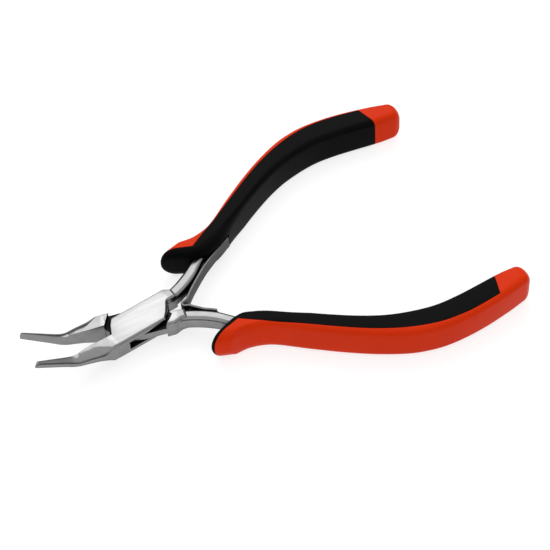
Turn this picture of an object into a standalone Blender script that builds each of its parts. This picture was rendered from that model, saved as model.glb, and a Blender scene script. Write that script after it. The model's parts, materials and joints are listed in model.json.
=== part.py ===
"""Bent-nose pliers with a box joint, a leaf return spring and two-part moulded grips.

The pivot pin stands along Z.  Each half is drawn in its own frame with the jaws shut: the pivot
at the origin, the handle at +X and +Y, the jaw at -X and -Y.  The tenon half is mirrored in Y,
and each half is then turned about the pin to the relaxed, open position.
Every size below is in millimetres and is scaled to metres as the meshes are made.
"""
import math

import bmesh
import bpy
from mathutils import Matrix, Vector

MM = 0.001

# ---- driving dimensions (mm, degrees) ----
REST_HALF_ANGLE = 9.5       # how far each half stands open from shut, held by the spring
FIT = 0.3                   # gap left between two pieces that touch on the real tool

JOINT_THICKNESS = 5.8       # across the two cheeks of the box
JOINT_HALF_WIDTH = 4.65     # from the pin's axis to the side faces
CHEEK_END = 9.1             # from the pin's axis to the end of a cheek, on the centre line
ROOT_END = 12.4             # from the pin's axis to where the handle leaves the joint
TENON_THICKNESS = 2.1       # the tongue that passes through the box
EDGE_BREAK = 0.6            # bevel on the joint's outer edges
PIN_RADIUS = 2.0
TONGUE_CORNER = 5.6         # from the pin's axis to the tongue's square corners, along X
TONGUE_SHOULDER = (9.35, 0.35)  # where the tongue's slanted ends meet the jaw and the handle
WINDOW_REACH = 3.0          # how far the window's cutter runs past the tongue's ends

JAW_LENGTH = 31.3           # from the pin's axis to the jaw tip, along X
JAW_BEND_AT = 20.5          # from the pin's axis to the bend
JAW_BEND_ANGLE = 31.5       # out of the plane of the handles, towards +Z
JAW_GAP = 0.15              # from the centre line to the gripping face, shut
JAW_TIP_RADIUS = 1.0
JAW_RELIEF = 0.3            # how much further the gripping face stands back near the joint
JAW_RELIEF_FROM = 14.0      # from the pin's axis to where that relief starts
JAW_RELIEF_RUN = 5.0        # over which it grows to its full depth
JAW_CUT_BEFORE_BEND = 2.0   # the joint's faces cut the jaw off up to this far from the bend
BEND_RISE = 0.1             # height that the bend's corner gains over the last jaw section
BEND_CROWN = 0.15           # height that the rounded bend gains over its corner
BEND_LOSS = (0.4, 0.25)     # depth and half height lost between the last section and the bend
TIP_LOSS = (0.55, 0.4)      # depth and half height lost where the tip starts
JAW_POINTS = 13             # points round a jaw section
JAW_ARC_READINGS = 180      # readings along a section before it is cut off

SHANK_HALF_WIDTH = 1.85
SHANK_HALF_THICKNESS = 2.25
TANG_HALF_WIDTH = 1.4
TANG_HALF_THICKNESS = 1.5

GRIP_THICKNESS = 10.2       # along Z
GRIP_CORNER = 1.9
NOSE_CORNER = 4.4           # rounder at the flared nose
NOSE_FADE = 0.6             # how much less round each section behind the nose is
NOSE_ROUND = 2.8            # radius at the nose's end
TAIL_ROUND = 1.9            # radius at the far end
SKIN = 1.3                  # wall of the soft overmould
SEAT_RUN_OUT = 1.0          # how far the spring's seat runs past the spring's end
SEAT_RUN_IN = 3.0           # how far it starts before the grip's nose, in the open
SEAT_CUT = 4.0              # how deep its cutter reaches towards the spring's free side
GRIP_STATIONS = 26          # sections along a grip
BAR_STATIONS = 22           # sections along a handle bar

LEAF_THICKNESS = 0.7
LEAF_WIDTH = 3.7
RIVET_RADIUS = 0.7
RIVET_DEPTH = 2.2

# ---- outlines drawn by hand, in the frame of a shut half (mm) ----
# Jaw sections: station along X, depth in Y, half height in Z, height of the centre.
JAW_SECTIONS = [
    (-7.0, 8.0, 6.0, 0.0),
    (-9.0, 6.8, 5.4, 0.0),
    (-11.0, 5.4, 3.9, 0.15),
    (-13.0, 4.6, 3.0, 0.3),
    (-15.0, 4.0, 2.45, 0.5),
    (-17.0, 3.4, 2.15, 0.65),
    (-19.0, 2.8, 1.8, 0.7),
]
GRIP_INNER = [(26.1, 7.0), (29.7, 7.3), (34.3, 9.3), (40.0, 12.6), (48.0, 16.3), (56.0, 19.5), (63.0, 21.5),
              (70.0, 22.35), (76.0, 22.3), (82.0, 21.2), (88.0, 19.6), (94.0, 17.9), (102.2, 15.9)]
GRIP_OUTER = [(14.6, 14.7), (15.9, 16.3), (19.5, 16.3), (24.4, 14.6), (29.8, 14.6), (35.0, 16.3),
              (42.0, 20.0), (50.0, 24.0), (58.0, 27.4), (66.0, 29.9), (72.0, 30.65), (77.0, 30.5),
              (83.0, 29.4), (89.0, 27.7), (95.0, 25.5), (103.8, 22.0)]
COLOUR_LINE = [(24.7, 10.6), (28.8, 12.5), (34.0, 14.8), (41.5, 18.3), (49.5, 22.1), (56.8, 25.2),
               (63.7, 27.4), (70.1, 28.6), (75.7, 28.9), (80.9, 28.3), (85.5, 27.3), (92.8, 25.0)]
COLLAR_OUTER = (13.9, 16.5)     # where the overmould's collar line leaves the grip
SKIN_END_INNER = (94.2, 14.0)   # where the overmould's end line leaves the grip
# Handle bar: place of the centre line, from the joint into the grip.
BAR_LINE = [(9.4, 2.25), (12.0, 2.3), (15.7, 3.4), (19.6, 5.2), (23.0, 7.5), (26.0, 9.5), (30.0, 11.5),
            (36.0, 14.1), (42.0, 17.0), (50.0, 20.8), (58.0, 24.0), (66.0, 26.2)]
BAR_FULL_UNTIL = 3              # stations that keep the full shank section
# Leaf spring: upper arm in the box half's frame, lower arm in the tenon half's mirrored frame,
# and the bend between them in the frame of the open tool.
LEAF_UPPER = [(35.6, 9.8), (32.0, 8.6), (28.5, 7.1), (25.1, 5.5), (22.4, 3.95), (19.7, 2.25), (17.2, 0.6),
              (15.6, -0.6), (14.2, -1.6)]
LEAF_BEND_CENTRE = (13.2, -0.4)
LEAF_BEND_RADIUS = 0.75
LEAF_BEND_FROM = 244            # degrees about the bend's centre, lower arm to upper arm
LEAF_BEND_TO = 118
LEAF_LOWER = [(14.1, -0.85), (15.2, 0.05), (16.1, 0.7)]
LEAF_LOWER_TOUCH = 17.4         # station where the lower arm meets the shank
LEAF_FOOT_END = 20.7
RIVET_AT = 19.0

STEEL = (0.62, 0.62, 0.64)
SPRING_STEEL = (0.35, 0.35, 0.36)
ORANGE = (0.62, 0.05, 0.012)
BLACK = (0.012, 0.012, 0.013)


# ---- scene and material helpers ----
def clear_scene():
    for obj in list(bpy.data.objects):
        bpy.data.objects.remove(obj, do_unlink=True)


def new_collection(name):
    collection = bpy.data.collections.new(name)
    bpy.context.scene.collection.children.link(collection)
    return collection


def make_material(name, colour, roughness, metallic):
    material = bpy.data.materials.new(name)
    material.use_nodes = True
    shader = material.node_tree.nodes["Principled BSDF"]
    shader.inputs["Base Color"].default_value = (*colour, 1.0)
    shader.inputs["Roughness"].default_value = roughness
    shader.inputs["Metallic"].default_value = metallic
    material.diffuse_color = (*colour, 1.0)
    return material


# ---- mesh helpers ----
def object_from_bmesh(name, bm, collection):
    mesh = bpy.data.meshes.new(name)
    bm.to_mesh(mesh)
    bm.free()
    obj = bpy.data.objects.new(name, mesh)
    collection.objects.link(obj)
    return obj


def loft(name, rings, collection):
    """A closed solid through rings of equal vertex count, capped at both ends (points in mm)."""
    bm = bmesh.new()
    grid = []
    for ring in rings:
        grid.append([bm.verts.new(Vector(point) * MM) for point in ring])
    count = len(grid[0])
    for first, second in zip(grid, grid[1:]):
        for i in range(count):
            j = (i + 1) % count
            bm.faces.new((first[i], first[j], second[j], second[i]))
    bm.faces.new(grid[0])
    bm.faces.new(grid[-1])
    bmesh.ops.recalc_face_normals(bm, faces=bm.faces)
    if bm.calc_volume(signed=True) < 0:
        bmesh.ops.reverse_faces(bm, faces=bm.faces)
    return object_from_bmesh(name, bm, collection)


def slab(name, outline, z_low, z_high, collection):
    """A flat outline filled and extruded between two heights, made from a 2D curve."""
    curve = bpy.data.curves.new(name, "CURVE")
    curve.dimensions = "2D"
    curve.fill_mode = "BOTH"
    curve.extrude = (z_high - z_low) / 2 * MM
    spline = curve.splines.new("POLY")
    spline.points.add(len(outline) - 1)
    for point, (x, y) in zip(spline.points, outline):
        point.co = (x * MM, y * MM, 0.0, 1.0)
    spline.use_cyclic_u = True
    outline_object = bpy.data.objects.new(name + "_outline", curve)
    collection.objects.link(outline_object)
    graph = bpy.context.evaluated_depsgraph_get()
    mesh = bpy.data.meshes.new_from_object(outline_object.evaluated_get(graph))
    bpy.data.objects.remove(outline_object, do_unlink=True)
    bm = bmesh.new()
    bm.from_mesh(mesh)
    bpy.data.meshes.remove(mesh)
    bmesh.ops.remove_doubles(bm, verts=bm.verts, dist=1e-6)
    bmesh.ops.translate(bm, verts=bm.verts, vec=(0, 0, (z_low + z_high) / 2 * MM))
    bmesh.ops.recalc_face_normals(bm, faces=bm.faces)
    return object_from_bmesh(name, bm, collection)


def cylinder(name, radius, length, collection, segments=32):
    bm = bmesh.new()
    bmesh.ops.create_cone(bm, cap_ends=True, segments=segments, radius1=radius * MM, radius2=radius * MM,
                          depth=length * MM)
    return object_from_bmesh(name, bm, collection)


def bake(obj):
    """Replace an object's mesh by the result of its modifiers."""
    graph = bpy.context.evaluated_depsgraph_get()
    mesh = bpy.data.meshes.new_from_object(obj.evaluated_get(graph))
    obj.modifiers.clear()
    obj.data = mesh


def combine(obj, other, operation, solver="EXACT"):
    """A Boolean with a piece that is used up.  On the two halves EXACT drops bodies, MANIFOLD doesn't."""
    modifier = obj.modifiers.new(operation.lower(), "BOOLEAN")
    modifier.operation = operation
    modifier.solver = solver
    modifier.object = other
    bake(obj)
    bpy.data.objects.remove(other, do_unlink=True)


def copy_object(obj, name, collection):
    duplicate = obj.copy()
    duplicate.data = obj.data.copy()
    duplicate.name = name
    collection.objects.link(duplicate)
    return duplicate


def mirror_y(obj):
    bm = bmesh.new()
    bm.from_mesh(obj.data)
    for vertex in bm.verts:
        vertex.co.y = -vertex.co.y
    bmesh.ops.reverse_faces(bm, faces=bm.faces)
    bm.to_mesh(obj.data)
    bm.free()


# ---- curve helpers ----
def smooth_line(points, steps):
    """Points along a centripetal-like curve through the given points."""
    padded = [points[0], *points, points[-1]]
    line = []
    for a, b, c, d in zip(padded, padded[1:], padded[2:], padded[3:]):
        for step in range(steps):
            t = step / steps
            line.append(tuple(
                0.5 * (2 * q + (r - p) * t + (2 * p - 5 * q + 4 * r - s) * t * t
                       + (3 * q - p - 3 * r + s) * t * t * t)
                for p, q, r, s in zip(a, b, c, d)))
    line.append(tuple(points[-1]))
    return line


def by_length(line, count):
    """The line read again at equal spacing."""
    vectors = [Vector(point) for point in line]
    total = sum((b - a).length for a, b in zip(vectors, vectors[1:]))
    result = []
    for index in range(count):
        left = total * index / (count - 1)
        for a, b in zip(vectors, vectors[1:]):
            piece = (b - a).length
            if left <= piece or b is vectors[-1]:
                result.append(a.lerp(b, min(1.0, left / piece)))
                break
            left -= piece
    return result


def directions(line):
    """Unit tangents of a list of 2D vectors."""
    result = []
    for index in range(len(line)):
        before = line[max(0, index - 1)]
        after = line[min(len(line) - 1, index + 1)]
        result.append((after - before).normalized())
    return result


def offset_line(line, distance):
    """The line moved to its left by the distance, with mitred corners."""
    moved = []
    last = len(line) - 1
    for index, point in enumerate(line):
        before = (point - line[max(0, index - 1)]).normalized()
        after = (line[min(last, index + 1)] - point).normalized()
        if index == 0:
            before = after
        if index == last:
            after = before
        tangent = (before + after).normalized()
        stretch = 1 / max(0.5, tangent.dot(after))
        moved.append(point + Vector((-tangent.y, tangent.x)) * distance * stretch)
    return moved


def between(line, x_low, x_high):
    """The stretch of a line between two stations along X, with exact ends."""
    kept = []
    for a, b in zip(line, line[1:]):
        for x in (x_low, x_high):
            if a.x <= x < b.x:
                kept.append(a.lerp(b, (x - a.x) / (b.x - a.x)))
        if x_low < b.x < x_high:
            kept.append(b.copy())
    return sorted(kept, key=lambda point: point.x)


def turned(points, degrees):
    """Points turned about the pin."""
    turn = Matrix.Rotation(math.radians(degrees), 2)
    return [turn @ Vector(point) for point in points]


# ---- jaw ----
def even_points(path, count):
    """The path read at equal spacing, with its sharpest corners kept."""
    even = by_length(path, count)
    for before, corner, after in zip(path, path[1:], path[2:]):
        if (corner - before).angle(after - corner) > math.radians(25):
            nearest = min(range(1, count - 1), key=lambda index: (even[index] - corner).length)
            even[nearest] = corner
    return even


def jaw_ring(centre, along, depth, half_height, gap):
    """A half ellipse with its flat on the gripping side, cut off by the joint's faces and bevels."""
    limit = JOINT_THICKNESS / 2 - 0.02
    across = Vector((-along.z, 0.0, along.x))
    if across.z < 0:
        across = -across
    in_joint = centre.x > JAW_CUT_BEFORE_BEND - JAW_BEND_AT
    path = []
    for step in range(JAW_ARC_READINGS + 1):
        angle = math.radians(-90 + 180 * step / JAW_ARC_READINGS)
        y = gap + depth * math.cos(angle)
        point = centre + across * (half_height * math.sin(angle))
        if in_joint:
            y = min(y, JOINT_HALF_WIDTH - 0.02)
            point.z = max(-limit, min(limit, point.z))
            over_bevel = y + abs(point.z) - (JOINT_HALF_WIDTH + limit - EDGE_BREAK)
            if over_bevel > 0:
                y -= over_bevel / 2
                point.z -= math.copysign(over_bevel / 2, point.z)
        place = Vector((point.x, -y, point.z))
        if not path or (place - path[-1]).length > 0.004:
            path.append(place)
    return [tuple(point) for point in even_points(path, JAW_POINTS)]


def build_jaw(name, collection):
    """The jaw of a half whose handle is at +Y: round back, flat gripping face, bent tip."""
    slope = math.radians(JAW_BEND_ANGLE)
    last = JAW_SECTIONS[-1]
    sections = [list(section) for section in JAW_SECTIONS]
    bend_z = last[3] + BEND_RISE
    sections.append([-JAW_BEND_AT, last[1] - BEND_LOSS[0], last[2] - BEND_LOSS[1], bend_z + BEND_CROWN])
    tip_run = JAW_LENGTH - JAW_BEND_AT
    for share in (0.25, 0.5, 0.75, 1.0):
        depth = (last[1] - TIP_LOSS[0]) * (1 - share) + JAW_TIP_RADIUS * share
        half = (last[2] - TIP_LOSS[1]) * (1 - share) + JAW_TIP_RADIUS * share
        x = -JAW_BEND_AT - tip_run * share
        z = bend_z + tip_run * share * math.tan(slope)
        sections.append([x, depth, half, z])
    line = smooth_line(sections, 2)
    rings = []
    for index, (x, depth, half, z) in enumerate(line):
        before = line[max(0, index - 1)]
        after = line[min(len(line) - 1, index + 1)]
        along = Vector((after[0] - before[0], 0.0, after[3] - before[3])).normalized()
        relief = max(0.0, (x + JAW_RELIEF_FROM) / JAW_RELIEF_RUN)
        gap = JAW_GAP + JAW_RELIEF * min(1.0, relief)
        rings.append(jaw_ring(Vector((x, 0.0, z)), along, depth, half, gap))
    return loft(name, rings, collection)


# ---- handle bar ----
def bar_sections(extra):
    """Centre points, half widths and half thicknesses of the bar, grown by a clearance."""
    line = by_length(smooth_line(BAR_LINE, 4), BAR_STATIONS)
    full_until = BAR_LINE[BAR_FULL_UNTIL][0]
    thin_from = BAR_LINE[BAR_FULL_UNTIL + 4][0]
    result = []
    for point in line:
        share = min(1.0, max(0.0, (point.x - full_until) / (thin_from - full_until)))
        width = SHANK_HALF_WIDTH + (TANG_HALF_WIDTH - SHANK_HALF_WIDTH) * share
        thick = SHANK_HALF_THICKNESS + (TANG_HALF_THICKNESS - SHANK_HALF_THICKNESS) * share
        result.append((point, width + extra, thick + extra))
    return result


def rounded_ring(centre, side, half_width, half_thickness, corner, steps=3):
    """A rectangle with round corners, in the plane of `side` and Z."""
    corner = min(corner, half_width * 0.98, half_thickness * 0.98)
    ring = []
    for quarter, (u_sign, z_sign) in enumerate(((1, 1), (-1, 1), (-1, -1), (1, -1))):
        for step in range(steps + 1):
            angle = math.radians(90 * quarter + 90 * step / steps)
            u = u_sign * (half_width - corner) + corner * math.cos(angle)
            z = z_sign * (half_thickness - corner) + corner * math.sin(angle)
            ring.append((centre.x + side.x * u, centre.y + side.y * u, z))
    return ring


def build_bar(name, extra, collection):
    sections = bar_sections(extra)
    line = [section[0] for section in sections]
    rings = []
    for (point, width, thick), tangent in zip(sections, directions(line)):
        side = Vector((-tangent.y, tangent.x))
        rings.append(rounded_ring(point, side, width, thick, width * 0.8))
    if extra:
        point, width, thick = sections[-1]
        tangent = directions(line)[-1]
        side = Vector((-tangent.y, tangent.x))
        rings.append(rounded_ring(point + tangent * extra, side, width, thick, width * 0.8))
    return loft(name, rings, collection)


# ---- joint ----
def mirrored_outline(points):
    return [(x, -y) for x, y in points]


def box_outline():
    w = JOINT_HALF_WIDTH
    return [(-6.3, w), (-7.8, 2.7), (0.05 - CHEEK_END, 0.2), (-CHEEK_END - 0.3, -0.5), (-CHEEK_END - 0.3, -w),
            (5.6, -w), (7.35, -2.7), (CHEEK_END, 0.0), (CHEEK_END + 0.5, 0.45), (ROOT_END, 0.55),
            (ROOT_END, 3.3), (ROOT_END - 1.8, w)]


def window_outline():
    """The slot through the box: its end walls lie along the ends of the shut tool's tongue."""
    low = Vector((-TONGUE_CORNER, -JOINT_HALF_WIDTH))
    high = Vector((-TONGUE_SHOULDER[0], TONGUE_SHOULDER[1]))
    along = (high - low).normalized()
    outward = Vector((-along.y, along.x)) * FIT
    low += outward - along * WINDOW_REACH
    high += outward + along * WINDOW_REACH
    one_side = [(low.x, low.y), (high.x, high.y), (high.x, -low.y)]
    return one_side + [(-x, -y) for x, y in one_side]


def tenon_outline():
    """The tenon half's joint, drawn with its handle at +Y and its jaw at -Y."""
    w = JOINT_HALF_WIDTH
    x, y = TONGUE_SHOULDER
    return [(-x, -y), (-TONGUE_CORNER, w), (ROOT_END - 3.6, w), (ROOT_END - 1.5, 3.6), (ROOT_END, 3.5),
            (ROOT_END, 0.55), (x, y), (TONGUE_CORNER, -w), (-CHEEK_END - 0.3, -w), (-CHEEK_END - 0.5, -0.6)]


def cheek_relief_outline():
    """What is cut from both faces of the tenon half so that the cheeks can lie there."""
    w = JOINT_HALF_WIDTH
    clear = CHEEK_END + FIT
    return [(-clear - 0.45, 0.8), (-clear - 0.05, -0.2), (-7.4, -w), (-6.9, -w - 1.2), (4.8, -w - 1.2),
            (clear + 0.6, -0.9), (clear + 0.15, 0.25), (7.85, 2.95), (6.4, w), (5.7, w + 1.2),
            (-clear, w + 1.2)]


def inset_outline(outline, distance):
    """A closed outline moved inward by the distance, with mitred corners."""
    points = [Vector(point) for point in outline]
    area = sum(a.x * b.y - b.x * a.y for a, b in zip(points, points[1:] + points[:1]))
    inward = 1.0 if area > 0 else -1.0
    moved = []
    for index, point in enumerate(points):
        before = (point - points[index - 1]).normalized()
        after = (points[(index + 1) % len(points)] - point).normalized()
        tangent = (before + after).normalized()
        stretch = 1 / max(0.5, tangent.dot(after))
        moved.append(point + Vector((-tangent.y, tangent.x)) * inward * distance * stretch)
    return moved


def joint_blank(name, outline, parts, cutters):
    """The joint's full thickness block with broken edges and its bore for the pin."""
    half = JOINT_THICKNESS / 2
    levels = ((-half, EDGE_BREAK), (EDGE_BREAK - half, 0.0), (half - EDGE_BREAK, 0.0), (half, EDGE_BREAK))
    rings = []
    for z, inset in levels:
        rings.append([(point.x, point.y, z) for point in inset_outline(outline, inset)])
    body = loft(name, rings, parts)
    bore = cylinder("bore", PIN_RADIUS + FIT, 3 * JOINT_THICKNESS, cutters)
    combine(body, bore, "DIFFERENCE", "MANIFOLD")
    return body


def build_box_half(parts, cutters):
    body = joint_blank("box_half", box_outline(), parts, cutters)
    combine(body, build_jaw("jaw", cutters), "UNION", "MANIFOLD")
    combine(body, build_bar("bar", 0.0, cutters), "UNION", "MANIFOLD")
    window_half = TENON_THICKNESS / 2 + FIT
    window = slab("window", window_outline(), -window_half, window_half, cutters)
    combine(body, window, "DIFFERENCE", "MANIFOLD")
    return body


def build_tenon_half(parts, cutters):
    body = joint_blank("tenon_half", tenon_outline(), parts, cutters)
    combine(body, build_jaw("jaw", cutters), "UNION", "MANIFOLD")
    combine(body, build_bar("bar", 0.0, cutters), "UNION", "MANIFOLD")
    cheek = TENON_THICKNESS / 2
    relief = cheek_relief_outline()
    front = slab("relief_front", relief, cheek, 2 * JOINT_THICKNESS, cutters)
    combine(body, front, "DIFFERENCE", "MANIFOLD")
    back = slab("relief_back", relief, -2 * JOINT_THICKNESS, -cheek, cutters)
    combine(body, back, "DIFFERENCE", "MANIFOLD")
    return body


# ---- grips ----
def end_rings(station, inward, inset, corner, radius):
    """Sections of a rounded end, from its outermost face inward."""
    centre, spread = station
    half_thickness = GRIP_THICKNESS / 2 - inset
    rings = []
    for angle in (0, 25, 50, 72, 90):
        turn = math.radians(angle)
        depth = inset + radius * (1 - math.cos(turn))
        shrink = radius * (1 - math.sin(turn))
        width = spread.length - inset - shrink
        place = centre + inward * depth
        rings.append(rounded_ring(place, spread.normalized(), width, half_thickness - shrink, corner))
    return rings


def build_grip_body(name, inset, collection):
    """The whole grip, or the same shape shrunk by an inset, between its two edge lines."""
    inner = by_length(smooth_line(GRIP_INNER, 4), GRIP_STATIONS)
    outer = by_length(smooth_line(GRIP_OUTER, 4), GRIP_STATIONS)
    stations = [((a + b) / 2, (b - a) / 2) for a, b in zip(inner, outer)]
    half_thickness = GRIP_THICKNESS / 2 - inset
    corner = GRIP_CORNER - inset * 0.5
    nose_corner = NOSE_CORNER - inset * 0.5
    nose_inward = (stations[2][0] - stations[0][0]).normalized()
    tail_inward = (stations[-3][0] - stations[-1][0]).normalized()
    rings = end_rings(stations[0], nose_inward, inset, nose_corner, NOSE_ROUND)
    for index, (centre, spread) in enumerate(stations[2:-2]):
        width = spread.length - inset
        here = max(corner, nose_corner - NOSE_FADE * index)
        rings.append(rounded_ring(centre, spread.normalized(), width, half_thickness, here))
    rings += reversed(end_rings(stations[-1], tail_inward, inset, corner, TAIL_ROUND))
    return loft(name, rings, collection)


def skin_region(name, grow, collection):
    """The side of the grip that the soft overmould takes, as a slab cut by the colour line."""
    colour = [Vector(point) for point in smooth_line(COLOUR_LINE, 2)]
    edge = [Vector(COLLAR_OUTER), *colour, Vector(SKIN_END_INNER)]
    edge = offset_line(edge, grow)
    outline = [tuple(point) for point in edge]
    outline += [(edge[-1].x, -20.0), (-10.0, -20.0), (-10.0, edge[0].y)]
    return slab(name, outline, -GRIP_THICKNESS, GRIP_THICKNESS, collection)


def build_overmould(name, parts, cutters):
    """The soft skin on the inner side, both faces and the nose of a grip."""
    skin = build_grip_body(name, 0.0, parts)
    combine(skin, skin_region("skin_region", 0.0, cutters), "INTERSECT")
    combine(skin, build_grip_body("skin_hollow", SKIN, cutters), "DIFFERENCE")
    combine(skin, build_bar("bar_clearance", FIT, cutters), "DIFFERENCE")
    return skin


def build_core(name, parts, cutters):
    """The hard core: the outer side of the grip and all that lies under the skin."""
    core = build_grip_body(name, 0.0, parts)
    combine(core, skin_region("core_relief", FIT, cutters), "DIFFERENCE")
    combine(core, build_grip_body("core_inside", SKIN + FIT, cutters), "UNION")
    combine(core, build_bar("bar_clearance", FIT, cutters), "DIFFERENCE")
    return core


def cut_spring_seat(skin, cutters):
    """A shallow groove where the spring's free end rests and slides."""
    line = [Vector(point) for point in reversed(smooth_line(LEAF_UPPER, 3))]
    seat = between(line, LEAF_UPPER[3][0] - SEAT_RUN_IN, line[-1].x - 0.001)
    seat.append(seat[-1] + (seat[-1] - seat[-2]).normalized() * SEAT_RUN_OUT)
    top = offset_line(seat, LEAF_THICKNESS / 2 + FIT)
    bottom = offset_line(seat, -SEAT_CUT)
    outline = [tuple(point) for point in top + list(reversed(bottom))]
    half = LEAF_WIDTH / 2 + FIT
    combine(skin, slab("spring_seat", outline, -half, half, cutters), "DIFFERENCE")


# ---- leaf spring ----
def foot_line():
    """The lower arm's rest on the shank, in the tenon half's mirrored frame."""
    bar = [Vector(point) for point in smooth_line(BAR_LINE, 4)]
    lie = offset_line(bar, -(SHANK_HALF_WIDTH + FIT + LEAF_THICKNESS / 2))
    return between(lie, LEAF_LOWER_TOUCH, LEAF_FOOT_END)


def leaf_line():
    """The spring's centre line from its foot to its free end, on the open tool."""
    foot = [tuple(point) for point in reversed(foot_line()[::2])]
    lower = smooth_line(foot + list(reversed(LEAF_LOWER)), 2)
    upper = smooth_line(list(reversed(LEAF_UPPER)), 3)
    bend = []
    centre = Vector(LEAF_BEND_CENTRE)
    for angle in range(LEAF_BEND_FROM, LEAF_BEND_TO - 1, -16):
        turn = math.radians(angle)
        bend.append(centre + Vector((math.cos(turn), math.sin(turn))) * LEAF_BEND_RADIUS)
    return (turned(mirrored_outline(lower), -REST_HALF_ANGLE) + bend + turned(upper, REST_HALF_ANGLE))


def rivet_place():
    """Point on the shank's inner side under the rivet, and the direction out of the shank."""
    bar = [Vector(point) for point in smooth_line(BAR_LINE, 4)]
    near = between(bar, RIVET_AT - 0.4, RIVET_AT + 0.4)
    tangent = (near[-1] - near[0]).normalized()
    outward = Vector((tangent.y, -tangent.x))
    middle = (near[0] + near[-1]) / 2
    return middle + outward * SHANK_HALF_WIDTH, outward


def rivet_cylinder(name, radius, top, bottom, collection):
    """A cylinder along the rivet's axis, from one height over the shank to one depth in it."""
    surface, outward = rivet_place()
    pin = cylinder(name, radius, top + bottom, collection, segments=20)
    centre = surface + outward * ((top - bottom) / 2)
    aim = Vector((outward.x, outward.y, 0.0)).to_track_quat("Z", "Y").to_matrix().to_4x4()
    pin.data.transform(Matrix.Translation((centre.x * MM, centre.y * MM, 0.0)) @ aim)
    return pin


def build_leaf(parts, cutters):
    line = leaf_line()
    left = offset_line(line, LEAF_THICKNESS / 2)
    right = offset_line(line, -LEAF_THICKNESS / 2)
    outline = [tuple(point) for point in left + list(reversed(right))]
    leaf = slab("leaf_spring", outline, -LEAF_WIDTH / 2, LEAF_WIDTH / 2, parts)
    hole = rivet_cylinder("foot_hole", RIVET_RADIUS + FIT, 4.0, 1.0, cutters)
    mirror_y(hole)
    hole.data.transform(Matrix.Rotation(math.radians(-REST_HALF_ANGLE), 4, "Z"))
    combine(leaf, hole, "DIFFERENCE")
    return leaf


# ---- assembly ----
def holder(name, degrees, collection):
    """An empty on the pin's axis that carries one half."""
    empty = bpy.data.objects.new(name, None)
    empty.rotation_euler = (0.0, 0.0, math.radians(degrees))
    collection.objects.link(empty)
    return empty


def build_pliers():
    clear_scene()
    parts = new_collection("bent_nose_pliers")
    cutters = new_collection("cutters")
    chrome = make_material("polished_steel", STEEL, 0.12, 1.0)
    ground = make_material("ground_pin_steel", STEEL, 0.25, 1.0)
    spring = make_material("spring_steel", SPRING_STEEL, 0.3, 1.0)
    orange = make_material("orange_plastic", ORANGE, 0.3, 0.0)
    black = make_material("black_rubber", BLACK, 0.55, 0.0)

    box = build_box_half(parts, cutters)
    tenon = build_tenon_half(parts, cutters)
    rivet_hole = rivet_cylinder("rivet_hole", RIVET_RADIUS + FIT, 2.0, RIVET_DEPTH + FIT, cutters)
    combine(tenon, rivet_hole, "DIFFERENCE", "MANIFOLD")
    pin = cylinder("pivot_pin", PIN_RADIUS, JOINT_THICKNESS, parts)
    rivet = rivet_cylinder("leaf_spring_rivet", RIVET_RADIUS, FIT + LEAF_THICKNESS, RIVET_DEPTH, parts)
    leaf = build_leaf(parts, cutters)
    upper_core = build_core("upper_grip_core", parts, cutters)
    upper_skin = build_overmould("upper_grip_overmould", parts, cutters)
    lower_core = copy_object(upper_core, "lower_grip_core", parts)
    lower_skin = copy_object(upper_skin, "lower_grip_overmould", parts)
    cut_spring_seat(upper_skin, cutters)

    box_side = holder("box_half_on_pin", REST_HALF_ANGLE, parts)
    tenon_side = holder("tenon_half_on_pin", -REST_HALF_ANGLE, parts)
    for obj in (tenon, rivet, lower_core, lower_skin):
        mirror_y(obj)
        obj.parent = tenon_side
    for obj in (box, pin, upper_core, upper_skin):
        obj.parent = box_side

    finishes = {box: chrome, tenon: chrome, pin: ground, rivet: ground, leaf: spring, upper_core: orange,
                lower_core: orange, upper_skin: black, lower_skin: black}
    for obj, finish in finishes.items():
        obj.data.materials.clear()
        obj.data.materials.append(finish)
        obj.data.shade_smooth()
        obj.data.set_sharp_from_angle(angle=math.radians(35))
    set_on_ground([box_side, tenon_side, leaf], list(finishes))


def set_on_ground(roots, pieces):
    """Move the whole tool so that it lies on Z = 0, centred over the origin."""
    bpy.context.view_layer.update()
    corners = [piece.matrix_world @ vertex.co for piece in pieces for vertex in piece.data.vertices]
    low = Vector([min(corner[axis] for corner in corners) for axis in range(3)])
    high = Vector([max(corner[axis] for corner in corners) for axis in range(3)])
    shift = Vector((-(low.x + high.x) / 2, -(low.y + high.y) / 2, -low.z))
    for root in roots:
        root.location = shift
    bpy.context.view_layer.update()
    print("pin axis at (mm):", [round(value / MM, 4) for value in shift])


build_pliers()
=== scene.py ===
# %% [markdown]
# # Small bent-nose pliers
#
# These are light pliers for wire and small electronic parts.  Two forged steel halves cross in a box
# joint: one half is forked like a box, and the tongue of the other passes through it.  A bent leaf
# spring opens them, and each handle carries a moulded grip of hard orange plastic with a soft black
# skin on the side where the fingers lie.
#
# The imported model is the frame that everything here is built round.  It is loaded first, and the
# box around each of its parts is printed.

# %% Loading the frame
import json
import math

import bmesh
import bpy
from mathutils import Matrix, Vector

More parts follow.
